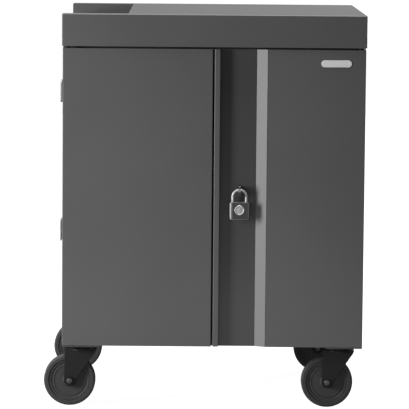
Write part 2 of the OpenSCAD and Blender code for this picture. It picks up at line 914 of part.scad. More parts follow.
module door_catches() {
    color(black) for (s = [0, 1]) translate([door_split_x, 0, 0]) mirror([s, 0, 0])
        translate([catch_in, catch_y, catch_top - catch_h]) cube([catch_w, catch_d, catch_h]);
}

module strike_plate() {
    translate([catch_in, front_y + door_t, catch_top - catch_h]) cube([catch_w, strike_t, catch_h]);
}

module left_strike_plate() {
    color(steel) translate([door_split_x, 0, 0]) mirror([1, 0, 0]) strike_plate();
}

module right_strike_plate() {
    color(steel) translate([door_split_x, 0, 0]) strike_plate();
}

module door_pivot_pins() {
    pin_bottom = door_top - pivot_grip;
    collar_bottom = door_top + pass_clear;
    color(steel) pivot_places() {
        translate([0, 0, pin_bottom]) cylinder(r = pivot_r, h = roof_top - pin_bottom);
        translate([0, 0, collar_bottom]) cylinder(r = collar_r, h = lid_z - collar_bottom);
        translate([0, 0, base_z]) cylinder(r = pivot_r, h = door_z + pivot_grip - base_z);
        translate([0, 0, base_top]) cylinder(r = collar_r, h = door_foot_gap - pass_clear);
    }
}

// Staple and padlock in the lock recess

module staple_tab() {
    reach = recess_y - rod_y + staple_hole_r + staple_wall;
    root = reach + door_skin;
    height = staple_head + staple_tail;
    difference() {
        translate([-reach, -staple_tail]) {
            translate([staple_round, 0]) square([root - staple_round, height]);
            translate([0, staple_round]) square([root, height - 2 * staple_round]);
            for (z = [staple_round, height - staple_round])
                translate([staple_round, z]) circle(staple_round);
        }
        translate([rod_y - recess_y, 0]) circle(staple_hole_r);
    }
}

module lock_staple() {
    foot_y = door_skin + staple_foot_t / 2;
    color(steel) translate([staple_x, recess_y, rod_z]) {
        rotate([90, 0, 90]) linear_extrude(staple_t, center = true) staple_tab();
        translate([0, foot_y, 0]) cube([staple_foot_w, staple_foot_t, staple_foot_h], center = true);
    }
}

module staple_slot() {
    half_t = staple_t / 2 + seat_clear;
    low = [-half_t, -over, -staple_tail - seat_clear];
    high = [half_t, door_skin + over, staple_head + seat_clear];
    translate([staple_x, recess_y, rod_z]) block(low, high);
}

module at_padlock() {
    translate([staple_x, rod_y, 0]) children();
}

module padlock_shackle() {
    straight = arc_z - lock_top;
    color(steel) at_padlock() {
        translate([0, 0, arc_z]) rotate([90, 0, 0])
            rotate_extrude(angle = 180) translate([arc_r, 0]) circle(rod_r);
        translate([-arc_r, 0, lock_top - heel_grip]) cylinder(r = rod_r, h = straight + heel_grip);
        translate([arc_r, 0, lock_top - toe_grip]) cylinder(r = rod_r, h = straight + toe_grip);
    }
}

module padlock_body() {
    bore_r = rod_r + 2 * pin_clear;
    color(dark) at_padlock() difference() {
        intersection() {
            translate([0, 0, lock_bottom + lock_h / 2])
                along_y(lock_t) round_rect(lock_w, lock_h, lock_corner_r);
            translate([0, 0, lock_bottom]) linear_extrude(lock_h) round_rect(lock_w, lock_t, lock_edge_r);
        }
        translate([-arc_r, 0, lock_top - heel_grip - over])
            cylinder(r = bore_r, h = heel_grip + 2 * over);
        translate([arc_r, 0, lock_top - toe_grip - over]) cylinder(r = bore_r, h = toe_grip + 2 * over);
        translate([0, 0, lock_bottom - over]) cylinder(r = plug_r + pin_clear, h = plug_grip + 2 * over);
    }
}

module padlock_disc() {
    color(steel) at_padlock() translate([0, -lock_t / 2, lock_bottom + disc_up])
        y_cylinder(disc_r, -disc_t, 0);
}

module padlock_plug() {
    color(steel) at_padlock() translate([0, 0, lock_bottom - plug_proud]) difference() {
        cylinder(r = plug_r, h = plug_grip + plug_proud);
        cube([keyway_w, keyway_l, 2 * keyway_d], center = true);
    }
}

// Rear service door and its lock

module vent_slots() {
    run = (vent_rows - 1) * vent_pitch;
    columns = [-vent_column_x, vent_column_x];
    fields = [door_z + vent_end, door_top - vent_end - run];
    for (x = columns, z = fields, i = [0 : vent_rows - 1])
        translate([x, -door_axis_y, z + i * vent_pitch])
            along_y(door_t + 2 * over) slot_shape(vent_l, vent_h);
}

module at_cam_lock() {
    translate([cam_lock_x, 0, cam_lock_z]) children();
}

module lock_case_hole() {
    at_cam_lock() y_cylinder(lock_case_r + seat_clear, back_y - door_t - over, back_y + over);
}

module rear_door_panel() {
    color(paint) difference() {
        at_rear_door() door_shell(rear_reach);
        vent_slots();
        lock_case_hole();
    }
}

module rear_door_liner() {
    color(paint_inside) difference() {
        at_rear_door() door_liner(rear_reach);
        vent_slots();
        lock_case_hole();
    }
}

module rear_lock_case() {
    color(steel) at_cam_lock() difference() {
        union() {
            y_cylinder(lock_case_r, cam_y + cam_t + pass_clear, back_y);
            y_cylinder(lock_flange_r, back_y, back_y + lock_flange_t);
        }
        y_cylinder(cam_plug_r + pin_clear, cam_y - over, back_y + lock_flange_t + over);
    }
}

module rear_lock_cam() {
    tip = cam_l - cam_w / 2;
    color(steel) at_cam_lock() {
        y_cylinder(cam_plug_r, cam_y, back_y + lock_flange_t);
        translate([0, cam_y + cam_t / 2, 0]) along_y(cam_t) {
            circle(cam_w / 2);
            translate([-cam_w / 2, 0]) square([cam_w, tip]);
            translate([0, tip]) circle(cam_w / 2);
        }
    }
}

module lock_keeper() {
    post_x = -inside_x + post_s;
    color(steel) translate([0, 0, cam_lock_z - keeper_h / 2]) {
        block([post_x, keeper_y, 0], [post_x + keeper_reach, frame_back, keeper_h]);
        block([post_x, shelf_back, 0], [post_x + keeper_t, frame_back, keeper_h]);
    }
}

// Casters, drawn with the swivel axis on Z and the wheel trailing to -X

module caster_plates() {
    head_z = crown_z - pass_clear - king_head_t;
    color(black) caster_places() {
        difference() {
            translate([0, 0, plate_z])
                linear_extrude(plate_t) round_rect(plate_w, plate_d, plate_corner_r);
            translate([0, 0, plate_z - over]) bolt_places()
                cylinder(r = bolt_r + seat_clear, h = plate_t + 2 * over);
        }
        translate([0, 0, head_z]) cylinder(r = king_r, h = caster_h - head_z);
        translate([0, 0, head_z]) cylinder(r = king_head_r, h = king_head_t);
    }
}

module caster_bolts() {
    color(steel) caster_places() bolt_places() {
        translate([0, 0, plate_z]) cylinder(r = bolt_r, h = base_top - seat_clear - plate_z);
        translate([0, 0, plate_z - bolt_head_t]) cylinder(r = bolt_head_r, h = bolt_head_t, $fn = 6);
    }
}

module leg_outline() {
    polygon([
        [-crown_r - leg_trail_out, crown_top], [crown_r, crown_top],
        [crown_r - leg_lead_in, crown_z - leg_lead_drop],
        [boss_r - caster_trail, wheel_r], [-boss_r - caster_trail, wheel_r]
    ]);
    translate([-caster_trail, wheel_r]) circle(boss_r);
}

module fork(braked) {
    beyond = leg_out + over;
    color(black) difference() {
        union() {
            translate([0, 0, crown_z]) cylinder(r = crown_r, h = crown_t);
            translate([0, 0, crown_top]) cylinder(r = race_r, h = race_h);
            for (s = [-1, 1]) translate([0, s * (leg_in + leg_t / 2), 0]) along_y(leg_t) leg_outline();
        }
        translate([0, 0, crown_z - over])
            cylinder(r = king_r + pin_clear, h = crown_t + race_h + 2 * over);
        translate([-caster_trail, 0, wheel_r]) y_cylinder(axle_r + seat_clear, -beyond, beyond);
        if (braked) translate([-pedal_pin_back, 0, pedal_z])
            y_cylinder(pedal_pin_r + pin_clear, -beyond, beyond);
    }
}

module axle() {
    nut_y = leg_out + axle_head_t;
    color(steel) translate([-caster_trail, 0, wheel_r]) {
        y_cylinder(axle_r, -leg_out, nut_y);
        for (y = [-leg_out, nut_y]) translate([0, y, 0]) rotate([90, 0, 0])
            cylinder(r = axle_head_r, h = axle_head_t, $fn = 6);
    }
}

module at_wheel() {
    translate([-caster_trail, 0, wheel_r]) rotate([90, 0, 0]) children();
}

module hub() {
    bore = axle_r + pin_clear;
    rim_r = hub_r - rim_t;
    half = [
        [bore, hub_half], [hub_boss_r, hub_half], [hub_boss_r, web_half],
        [rim_r, web_half], [rim_r, rim_half], [hub_r, rim_half]
    ];
    other_half = [for (i = [len(half) - 1 : -1 : 0]) [half[i][0], -half[i][1]]];
    color(dark) at_wheel() rotate_extrude() polygon(concat(half, other_half));
}

module tread() {
    color(black) at_wheel() rotate_extrude() {
        translate([hub_r, -tread_w / 2]) square([tread_t - tread_round, tread_w]);
        translate([hub_r, tread_round - tread_w / 2]) square([tread_t, tread_w - 2 * tread_round]);
        for (s = [-1, 1])
            translate([wheel_r - tread_round, s * (tread_w / 2 - tread_round)]) circle(tread_round);
    }
}

module pedal_outline() {
    pad_x = pedal_l - pad_l;
    circle(pedal_boss_r);
    polygon([
        [0, pedal_under], [shoe_in, pedal_under], [shoe_in, -shoe_drop], [shoe_in + shoe_w, -shoe_drop],
        [shoe_in + shoe_w, pedal_under], [pad_x, pedal_under], [pedal_l, pedal_under + pad_rise],
        [pedal_l, pad_rise - pedal_drop], [pad_x, -pedal_drop], [0, -pedal_drop]
    ]);
}

module brake() {
    color(dark) translate([-pedal_pin_back, 0, pedal_z]) {
        along_y(pedal_w) pedal_outline();
        y_cylinder(pedal_pin_r, -leg_out, leg_out);
    }
}

module at_caster(sx, sy) {
    translate([sx * caster_x, sy * caster_y, 0]) children();
}

base_plate();
roof_panel();
corner_posts();
cross_rails();
left_side_panel();
right_side_panel();
lid();
grip_bar();
grip_bolts();
floor_shelf();
middle_shelf();
shelf_angles();
partitions();
bay_dividers();
power_strips();
power_outlets();
charge_controller();
power_inlet();
power_rocker();
cord_hooks();
door_pivot_pins();
door_catches();
lock_keeper();
left_door_panel();
left_door_liner();
left_strike_plate();
right_door_panel();
right_door_liner();
right_strike_plate();
accent_strip();
bare_plate();
lock_staple();
padlock_shackle();
padlock_body();
padlock_disc();
padlock_plug();
rear_door_panel();
rear_door_liner();
rear_lock_case();
rear_lock_cam();
caster_plates();
caster_bolts();
at_caster(-1, -1) fork(false);  // front_left_fork
at_caster(-1, -1) axle();  // front_left_axle
at_caster(-1, -1) hub();  // front_left_hub
at_caster(-1, -1) tread();  // front_left_tread
at_caster(1, -1) fork(false);  // front_right_fork
at_caster(1, -1) axle();  // front_right_axle
at_caster(1, -1) hub();  // front_right_hub
at_caster(1, -1) tread();  // front_right_tread
at_caster(-1, 1) fork(true);  // rear_left_fork
at_caster(-1, 1) axle();  // rear_left_axle
at_caster(-1, 1) hub();  // rear_left_hub
at_caster(-1, 1) tread();  // rear_left_tread
at_caster(1, 1) fork(true);  // rear_right_fork
at_caster(1, 1) axle();  // rear_right_axle
at_caster(1, 1) hub();  // rear_right_hub
at_caster(1, 1) tread();  // rear_right_tread
at_caster(-1, 1) brake();  // rear_left_brake
at_caster(1, 1) brake();  // rear_right_brake
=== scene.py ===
import math

import bmesh
import bpy
from mathutils import Matrix, Vector


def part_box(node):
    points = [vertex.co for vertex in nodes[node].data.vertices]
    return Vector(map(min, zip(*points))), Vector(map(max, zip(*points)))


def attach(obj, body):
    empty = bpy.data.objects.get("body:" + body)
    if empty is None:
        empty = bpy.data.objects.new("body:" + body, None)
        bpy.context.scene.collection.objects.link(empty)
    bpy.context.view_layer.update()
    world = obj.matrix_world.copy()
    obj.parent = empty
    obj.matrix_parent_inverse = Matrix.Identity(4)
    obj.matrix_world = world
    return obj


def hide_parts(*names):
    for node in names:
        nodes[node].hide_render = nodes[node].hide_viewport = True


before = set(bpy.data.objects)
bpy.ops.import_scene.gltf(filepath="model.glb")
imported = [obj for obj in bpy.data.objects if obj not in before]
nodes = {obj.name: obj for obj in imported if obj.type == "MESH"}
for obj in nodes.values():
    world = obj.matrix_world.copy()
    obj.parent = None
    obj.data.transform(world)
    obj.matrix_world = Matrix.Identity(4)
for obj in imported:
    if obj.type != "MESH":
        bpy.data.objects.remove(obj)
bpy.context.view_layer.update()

scene = bpy.context.scene

# Camera
# A long lens about seven metres in front of the doors, a little above the lid and turned
# down to the middle of the cabinet, so that the lid's top shows as a thin band.
camera_place = (-0.054, -7.258, 1.2625)
yaw = math.radians(0.271)
pitch = math.radians(6.222)
roll = math.radians(0.494)
camera_data = bpy.data.cameras.new("camera")
camera_data.sensor_width = 36.0
camera_data.lens = 251.5
camera_data.clip_end = 60.0
camera = bpy.data.objects.new("camera", camera_data)
scene.collection.objects.link(camera)
ahead = Vector((math.sin(yaw) * math.cos(pitch), math.cos(yaw) * math.cos(pitch), -math.sin(pitch)))
level = Vector((math.cos(yaw), -math.sin(yaw), 0.0))
upright = level.cross(ahead)
across = math.cos(roll) * level + math.sin(roll) * upright
above = math.cos(roll) * upright - math.sin(roll) * level
turned_frame = Matrix((across, above, -ahead)).transposed().to_4x4()
camera.matrix_world = Matrix.Translation(camera_place) @ turned_frame
scene.camera = camera

# Floor and light
# A white floor in a white surround, with one tall soft light on the left, one behind on the right,
# a low strip in front for the light that the floor throws back, and a wide light overhead.
scene.view_settings.view_transform = "Standard"
white = (1.0, 1.0, 1.0, 1.0)
white_level = 0.97
floor_half = 9.0
floor_corners = [
    (-floor_half, -floor_half, 0.0),
    (floor_half, -floor_half, 0.0),
    (floor_half, floor_half, 0.0),
    (-floor_half, floor_half, 0.0),
]
floor_mesh = bpy.data.meshes.new("floor")
floor_mesh.from_pydata(floor_corners, [], [(0, 1, 2, 3)])
floor = bpy.data.objects.new("floor", floor_mesh)
scene.collection.objects.link(floor)


def new_finish(name):
    finish = bpy.data.materials.new(name)
    finish.use_nodes = True
    return finish, finish.node_tree, finish.node_tree.nodes["Principled BSDF"]


def add(tree, kind, inputs=None, **settings):
    node = tree.nodes.new(kind)
    for key, value in settings.items():
        setattr(node, key, value)
    for key, value in (inputs or {}).items():
        for each in value if isinstance(value, list) else [value]:
            if isinstance(each, bpy.types.NodeSocket):
                tree.links.new(each, node.inputs[key])
            else:
                node.inputs[key].default_value = each
    return node


def grey(level):
    return (level, level, level)


def surface_spot(tree):
    return add(tree, "ShaderNodeTexCoord").outputs["Object"]


def noise(tree, spot, scale, detail):
    return add(tree, "ShaderNodeTexNoise", {"Vector": spot, "Scale": scale, "Detail": detail}).outputs[0]


def tint(tree, shader, factor, low, high, start=0.3, end=0.7):
    shades = add(tree, "ShaderNodeValToRGB", {"Fac": factor})
    for stop, position, colour in zip(shades.color_ramp.elements, (start, end), (low, high)):
        stop.position = position
        stop.color = (*colour, 1.0)
    tree.links.new(shades.outputs["Color"], shader.inputs["Base Color"])


floor_finish, tree, shader = new_finish("studio_floor")
cloud = noise(tree, surface_spot(tree), scale=1.5, detail=2.0)
tint(tree, shader, cloud, grey(0.08), grey(0.09))
shader.inputs["Roughness"].default_value = 0.9
shader.inputs["Emission Color"].default_value = white
ray = add(tree, "ShaderNodeLightPath").outputs
glow = add(tree, "ShaderNodeMath", {0: ray["Is Camera Ray"], 1: white_level}, operation="MULTIPLY")
tree.links.new(glow.outputs[0], shader.inputs["Emission Strength"])
floor_mesh.materials.append(floor_finish)


def soft_light(name, stand, aim, wide, tall, watts):
    data = bpy.data.lights.new(name, "AREA")
    data.shape = "ELLIPSE"
    data.size = wide
    data.size_y = tall
    data.energy = watts
    light = bpy.data.objects.new(name, data)
    light.visible_camera = False
    light.location = stand
    light.rotation_euler = (Vector(aim) - Vector(stand)).to_track_quat("-Z", "Y").to_euler()
    scene.collection.objects.link(light)


soft_light("left_light", (-2.2, -1.2, 0.85), aim=(0.0, -0.33, 0.5), wide=0.6, tall=1.4, watts=97.0)
soft_light("floor_light", (0.0, -1.0, 0.04), aim=(0.0, -0.34, 0.08), wide=1.5, tall=0.4, watts=2.4)
soft_light("right_light", (2.5, 2.6, 1.2), aim=(0.2, 0.2, 0.5), wide=1.8, tall=1.8, watts=115.0)
sky_data = bpy.data.lights.new("overhead_light", "SUN")
sky_data.energy = 7.2
sky_data.angle = math.radians(18.0)
sky = bpy.data.objects.new("overhead_light", sky_data)
scene.collection.objects.link(sky)

fill_level = 0.075
gloss_level = 0.20
surround = bpy.data.worlds.new("surround")
surround.use_nodes = True
scene.world = surround
tree = surround.node_tree
ray = add(tree, "ShaderNodeLightPath").outputs
shine = {0: ray["Is Glossy Ray"], 1: gloss_level, 2: fill_level}
shine = add(tree, "ShaderNodeMath", shine, operation="MULTIPLY_ADD").outputs[0]
shine = {0: ray["Is Camera Ray"], 1: white_level, 2: shine}
shine = add(tree, "ShaderNodeMath", shine, operation="MULTIPLY_ADD").outputs[0]
tree.links.new(shine, tree.nodes["Background"].inputs["Strength"])
tree.nodes["Background"].inputs["Color"].default_value = white


def polish(tree, shader, factor, rough):
    span = {"Value": factor, "To Min": rough[0], "To Max": rough[1]}
    tree.links.new(add(tree, "ShaderNodeMapRange", span).outputs[0], shader.inputs["Roughness"])


def emboss(tree, shader, height, strength, depth):
    bump = add(tree, "ShaderNodeBump", {"Height": height, "Strength": strength, "Distance": depth})
    tree.links.new(bump.outputs[0], shader.inputs["Normal"])


def powder_coat(name, low, high, rough=(0.36, 0.44), grain=0.10, gloss=0.5):
    peel_depth = 0.0004
    finish, tree, shader = new_finish(name)
    shader.inputs["Specular IOR Level"].default_value = gloss
    spot = surface_spot(tree)
    cloud = noise(tree, spot, scale=3.0, detail=4.0)
    tint(tree, shader, cloud, low, high)
    polish(tree, shader, cloud, rough)
    peel = noise(tree, spot, scale=620.0, detail=2.0)
    emboss(tree, shader, peel, grain, peel_depth)
    return finish


def dress(finish, *names):
    for name in names:
        mesh = nodes[name].data
        mesh.materials.clear()
        mesh.materials.append(finish)


cabinet_coat = powder_coat("cabinet_coat", grey(0.060), grey(0.068), rough=(0.52, 0.60))
inner_coat = powder_coat("inner_coat", (0.19, 0.191, 0.194), (0.21, 0.211, 0.214))
# The corner posts and cross rails take the dark outer coat rather than the lighter inner grey, as painted
# shade that darkens the gap seen under the lid.
dress(cabinet_coat, "base_plate", "left_side_panel", "right_side_panel", "corner_posts", "cross_rails")
dress(inner_coat, "roof_panel")

sharp_angle = math.radians(40.0)


def place(name, mesh, finish, body, slot, *stands_for):
    mesh.materials.clear()
    mesh.materials.append(finish)
    mesh.polygons.foreach_set("material_index", [0] * len(mesh.polygons))
    mesh.shade_smooth()
    mesh.set_sharp_from_angle(angle=sharp_angle)
    made = bpy.data.objects.new(name, mesh)
    scene.collection.objects.link(made)
    made.modifiers.new("even_normals", "WEIGHTED_NORMAL").keep_sharp = True
    shown = made.evaluated_get(bpy.context.evaluated_depsgraph_get())
    made.data = bpy.data.meshes.new_from_object(shown)
    made.modifiers.clear()
    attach(made, body)
    if stands_for:
        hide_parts(*stands_for)


def new_tree(name, sizes):
    tree = bpy.data.node_groups.new(name, "GeometryNodeTree")
    sockets = tree.interface
    sockets.new_socket("Places", in_out="INPUT", socket_type="NodeSocketGeometry")
    for size, value in sizes.items():
        sockets.new_socket(size, in_out="INPUT", socket_type="NodeSocketFloat").default_value = value
    sockets.new_socket("Finish", in_out="INPUT", socket_type="NodeSocketMaterial")
    sockets.new_socket("Pieces", in_out="OUTPUT", socket_type="NodeSocketGeometry")
    return tree, tree.nodes.new("NodeGroupInput").outputs


def times(tree, value, share):
    return add(tree, "ShaderNodeMath", {0: value, 1: share}, operation="MULTIPLY").outputs[0]


def repeat(tree, shapes):
    start = tree.nodes["Group Input"].outputs
    facing = add(tree, "GeometryNodeInputNamedAttribute", {"Name": "facing"}, data_type="FLOAT_VECTOR")
    turn = add(tree, "FunctionNodeAlignRotationToVector", {"Vector": facing.outputs[0]}, axis="Z")
    shape = add(tree, "GeometryNodeJoinGeometry", {"Geometry": shapes})
    parts = {"Points": start["Places"], "Instance": shape.outputs[0], "Rotation": turn.outputs[0]}
    copies = add(tree, "GeometryNodeInstanceOnPoints", parts)
    solid = add(tree, "GeometryNodeRealizeInstances", {"Geometry": copies.outputs[0]})
    done = add(tree, "GeometryNodeSetMaterial", {"Geometry": solid.outputs[0], "Material": start["Finish"]})
    add(tree, "NodeGroupOutput", {"Pieces": done.outputs[0]})


def spread(name, tree, places, sizes, finish, body, slot, *stands_for):
    seeds = bpy.data.meshes.new(name + "_places")
    seeds.from_pydata([point for point, facing in places], [], [])
    facings = seeds.attributes.new("facing", "FLOAT_VECTOR", "POINT")
    facings.data.foreach_set("vector", [part for point, facing in places for part in facing])
    holder = bpy.data.objects.new(name + "_places", seeds)
    scene.collection.objects.link(holder)
    maker = holder.modifiers.new("maker", "NODES")
    maker.node_group = tree
    wanted = {"Finish": finish, **sizes}
    for socket in tree.interface.items_tree:
        if socket.in_out == "INPUT" and socket.name in wanted:
            maker[socket.identifier] = wanted[socket.name]
    shown = holder.evaluated_get(bpy.context.evaluated_depsgraph_get())
    mesh = bpy.data.meshes.new_from_object(shown)
    bpy.data.objects.remove(holder)
    place(name, mesh, finish, body, slot, *stands_for)


def steps(low, high, count):
    return [low + (high - low) * i / (count - 1) for i in range(count)]


rivets, size = new_tree("pop_rivets", {"Flange Radius": 0.0034, "Dome Height": 0.0012})
rivet_cones = []
for wide, narrow, tall in ((1.0, 0.92, 0.35), (0.78, 0.45, 1.0), (0.28, 0.22, 1.15)):
    cone = {
        "Vertices": 18,
        "Radius Bottom": times(rivets, size["Flange Radius"], wide),
        "Radius Top": times(rivets, size["Flange Radius"], narrow),
        "Depth": times(rivets, size["Dome Height"], tall),
    }
    rivet_cones.append(add(rivets, "GeometryNodeMeshCone", cone).outputs[0])
repeat(rivets, rivet_cones)

tube_side = 0.025
side_low, side_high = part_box("right_side_panel")
rivet_rows = steps(side_low.z + tube_side / 2, side_high.z - tube_side / 2, 8)
rivet_columns = steps(side_low.y + tube_side / 2, side_high.y - tube_side / 2, 6)
rivet_grid = [(y, z) for y in (rivet_columns[0], rivet_columns[-1]) for z in rivet_rows]
rivet_grid += [(y, z) for y in rivet_columns[1:-1] for z in (rivet_rows[0], rivet_rows[-1])]
side_rivets = [((s * side_high.x, y, z), (s, 0, 0)) for s in (-1, 1) for y, z in rivet_grid]
spread("side_rivets", rivets, side_rivets, {}, cabinet_coat, "cabinet", "cabinet_paint")

# Shelves and partitions
# Folded sheet steel in the same lighter grey, resting on angles and on the lower rails, with
# cross-head screws through the partitions' ends and through the angles.
dress(inner_coat, "floor_shelf", "middle_shelf", "shelf_angles", "partitions")


def brushed(name, low, high, rough=(0.25, 0.4), stretch=(4.0, 400.0, 400.0)):
    streak_strength = 0.05
    streak_depth = 0.0003
    finish, tree, shader = new_finish(name)
    lines = {"Vector": surface_spot(tree), "Scale": stretch}
    lines = add(tree, "ShaderNodeMapping", lines).outputs[0]
    streaks = noise(tree, lines, scale=1.0, detail=3.0)
    tint(tree, shader, streaks, low, high)
    polish(tree, shader, streaks, rough)
    emboss(tree, shader, streaks, streak_strength, streak_depth)
    shader.inputs["Metallic"].default_value = 1.0
    return finish


spangle = (90.0, 90.0, 90.0)
zinc_plate = brushed("zinc_plate", (0.45, 0.45, 0.46), (0.58, 0.58, 0.59), stretch=spangle)

screws, size = new_tree("cross_head_screws", {"Head Radius": 0.0038, "Head Height": 0.0018})
head = {
    "Vertices": 20,
    "Radius Bottom": size["Head Radius"],
    "Radius Top": times(screws, size["Head Radius"], 0.72),
    "Depth": size["Head Height"],
}
head = add(screws, "GeometryNodeMeshCone", head).outputs[0]
bar_length = times(screws, size["Head Radius"], 1.1)
bar_width = times(screws, size["Head Radius"], 0.24)
bar_depth = times(screws, size["Head Height"], 1.2)
head_top = add(screws, "ShaderNodeCombineXYZ", {2: size["Head Height"]}).outputs[0]
cross = []
for wide, deep in ((bar_length, bar_width), (bar_width, bar_length)):
    bar = add(screws, "ShaderNodeCombineXYZ", {0: wide, 1: deep, 2: bar_depth}).outputs[0]
    bar = add(screws, "GeometryNodeMeshCube", {"Size": bar}).outputs[0]
    bar = add(screws, "GeometryNodeTransform", {"Geometry": bar, "Translation": head_top}).outputs[0]
    cross.append(bar)
driven = add(screws, "GeometryNodeMeshBoolean", {"Mesh 1": head, "Mesh 2": cross}, operation="DIFFERENCE")
repeat(screws, [driven.outputs[0]])

angle_low, angle_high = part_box("shelf_angles")
sheet_low, sheet_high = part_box("partitions")
angle_t = 0.002
angle_end = 0.05
angle_x = angle_high.x - angle_t
angle_z = (angle_low.z + angle_high.z) / 2
frame_screws = [
    ((s * angle_x, y, angle_z), (-s, 0, 0))
    for s in (-1, 1)
    for y in steps(angle_low.y + angle_end, angle_high.y - angle_end, 4)
]
tab_middle = 0.014
tab_end = 0.03
lower_tab = 0.25
tab_x = sheet_high.x - tab_middle
lower_tabs = (sheet_low.z + tab_end, sheet_low.z + lower_tab)
upper_tabs = (angle_high.z + tab_end, sheet_high.z - tab_end)
frame_screws += [
    ((s * tab_x, sheet_high.y, z), (0, 1, 0))
    for s in (-1, 1)
    for z in lower_tabs + upper_tabs
]
spread("frame_screws", screws, frame_screws, {}, zinc_plate, "cabinet", "zinc_steel")


# Laptop bays
# Upright dividers of dark moulded plastic sheet with a pebbled grain, rounded at the front. One
# open clip for each bay's charging lead sits on the back of the partition, near its top.
def moulded(name, low, high, rough=(0.45, 0.6), pebble=900.0, depth=0.15, gloss=0.4):
    pebble_depth = 0.0004
    finish, tree, shader = new_finish(name)
    shader.inputs["Specular IOR Level"].default_value = gloss
    spot = surface_spot(tree)
    cloud = noise(tree, spot, scale=9.0, detail=3.0)
    tint(tree, shader, cloud, low, high)
    polish(tree, shader, cloud, rough)
    cells = add(tree, "ShaderNodeTexVoronoi", {"Vector": spot, "Scale": pebble}).outputs["Distance"]
    emboss(tree, shader, cells, depth, pebble_depth)
    return finish


def soften(name, node, finish, body, slot, edge=0.0, rounds=2):
    work = bmesh.new()
    work.from_mesh(nodes[node].data)
    bmesh.ops.remove_doubles(work, verts=work.verts, dist=1e-6)
    bmesh.ops.dissolve_limit(work, angle_limit=math.radians(0.5), verts=work.verts, edges=work.edges)
    sharp = [line for line in work.edges if line.is_manifold and line.calc_face_angle() > sharp_angle]
    if edge:
        bmesh.ops.bevel(
            work, geom=sharp, offset=edge, segments=rounds, profile=0.5, affect="EDGES", clamp_overlap=True
        )
    mesh = bpy.data.meshes.new(node + "_softened")
    work.to_mesh(mesh)
    work.free()
    place(name, mesh, finish, body, slot, node)


divider_sheet = moulded("divider_sheet", (0.058, 0.058, 0.059), (0.068, 0.068, 0.069))
soften("soft_dividers", "bay_dividers", divider_sheet, "cabinet", "divider_plastic", edge=0.0008)


def tree_ring(tree, radius, points):
    ring = {"Resolution": points, "Radius": radius}
    return add(tree, "GeometryNodeCurvePrimitiveCircle", ring).outputs[0]


def swept(tree, path, profile, caps=False):
    sweep = {"Curve": path, "Profile Curve": profile, "Fill Caps": caps}
    return add(tree, "GeometryNodeCurveToMesh", sweep).outputs[0]


black_plastic = moulded("black_plastic", (0.016, 0.016, 0.017), (0.021, 0.021, 0.022), pebble=1400.0)
clip_r = 0.006
clips, size = new_tree("lead_clips", {"Clip Radius": clip_r, "Clip Thickness": 0.0013})
loop = {
    "Resolution": 20,
    "Radius": size["Clip Radius"],
    "Start Angle": math.radians(125.0),
    "Sweep Angle": math.radians(290.0),
}
loop = add(clips, "GeometryNodeCurveArc", loop).outputs[0]
repeat(clips, [swept(clips, loop, tree_ring(clips, size["Clip Thickness"], 8), caps=True)])

bays = 12
bay_width = (sheet_high.x - sheet_low.x) / bays
bay_middles = [sheet_low.x + (i + 0.5) * bay_width for i in range(bays)]
clip_stand = 0.0010
clip_drop = 0.009
sheet_gap = 0.045
clip_y = sheet_high.y + clip_r + clip_stand
clip_rows = (angle_high.z - sheet_gap - clip_drop, sheet_high.z - clip_drop)
lead_clips = [((x, clip_y, z), (0, 0, 1)) for x in bay_middles for z in clip_rows]
spread("lead_clips", clips, lead_clips, {}, black_plastic, "cabinet", "black_plastic")

# Power bay
# Two anodised strips with twelve outlets each, screwed to the partitions, and a light grey
# enamelled charge controller with cooling fins and three lamps on the lower shelf.
strip_metal = brushed("strip_metal", (0.58, 0.59, 0.60), (0.68, 0.69, 0.70))
soften("soft_strips", "power_strips", strip_metal, "cabinet", "strip_aluminium", edge=0.001)


def tree_block(tree, middle, spans):
    size = add(tree, "ShaderNodeCombineXYZ", dict(enumerate(spans))).outputs[0]
    block = add(tree, "GeometryNodeMeshCube", {"Size": size}).outputs[0]
    move = add(tree, "ShaderNodeCombineXYZ", dict(enumerate(middle))).outputs[0]
    return add(tree, "GeometryNodeTransform", {"Geometry": block, "Translation": move}).outputs[0]


outlets, size = new_tree("outlets", {"Width": 0.036, "Height": 0.034, "Stand": 0.004})
outlet_w = size["Width"]
outlet_h = size["Height"]
outlet_t = size["Stand"]
base_middle = (0.0, 0.0, times(outlets, outlet_t, 0.3))
outlet_base = tree_block(outlets, base_middle, (outlet_w, outlet_h, times(outlets, outlet_t, 0.6)))
face_middle = (0.0, 0.0, times(outlets, outlet_t, 0.5))
face_spans = (times(outlets, outlet_w, 0.84), times(outlets, outlet_h, 0.84), outlet_t)
outlet_face = tree_block(outlets, face_middle, face_spans)
slot_shares = ((-0.18, -0.1, 0.06, 0.26), (0.18, -0.1, 0.06, 0.22), (0.0, 0.2, 0.13, 0.16))
slots = [
    tree_block(
        outlets,
        (times(outlets, outlet_w, x), times(outlets, outlet_h, y), outlet_t),
        (times(outlets, outlet_w, wide), times(outlets, outlet_h, tall), times(outlets, outlet_t, 0.7)),
    )
    for x, y, wide, tall in slot_shares
]
outlet_face = {"Mesh 1": outlet_face, "Mesh 2": slots}
outlet_face = add(outlets, "GeometryNodeMeshBoolean", outlet_face, operation="DIFFERENCE").outputs[0]
repeat(outlets, [outlet_base, outlet_face])

strip_low, strip_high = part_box("power_strips")
strip_tall = 0.046
strip_rows = (strip_low.z + strip_tall / 2, strip_high.z - strip_tall / 2)
outlet_pitch = (strip_high.x - strip_low.x) / bays
outlet_places = [
    ((strip_low.x + (i + 0.5) * outlet_pitch, strip_high.y, z), (0, 1, 0))
    for i in range(bays)
    for z in strip_rows
]
spread(
    "outlet_faces", outlets, outlet_places, {}, black_plastic, "cabinet", "black_plastic",
    "power_outlets",
)

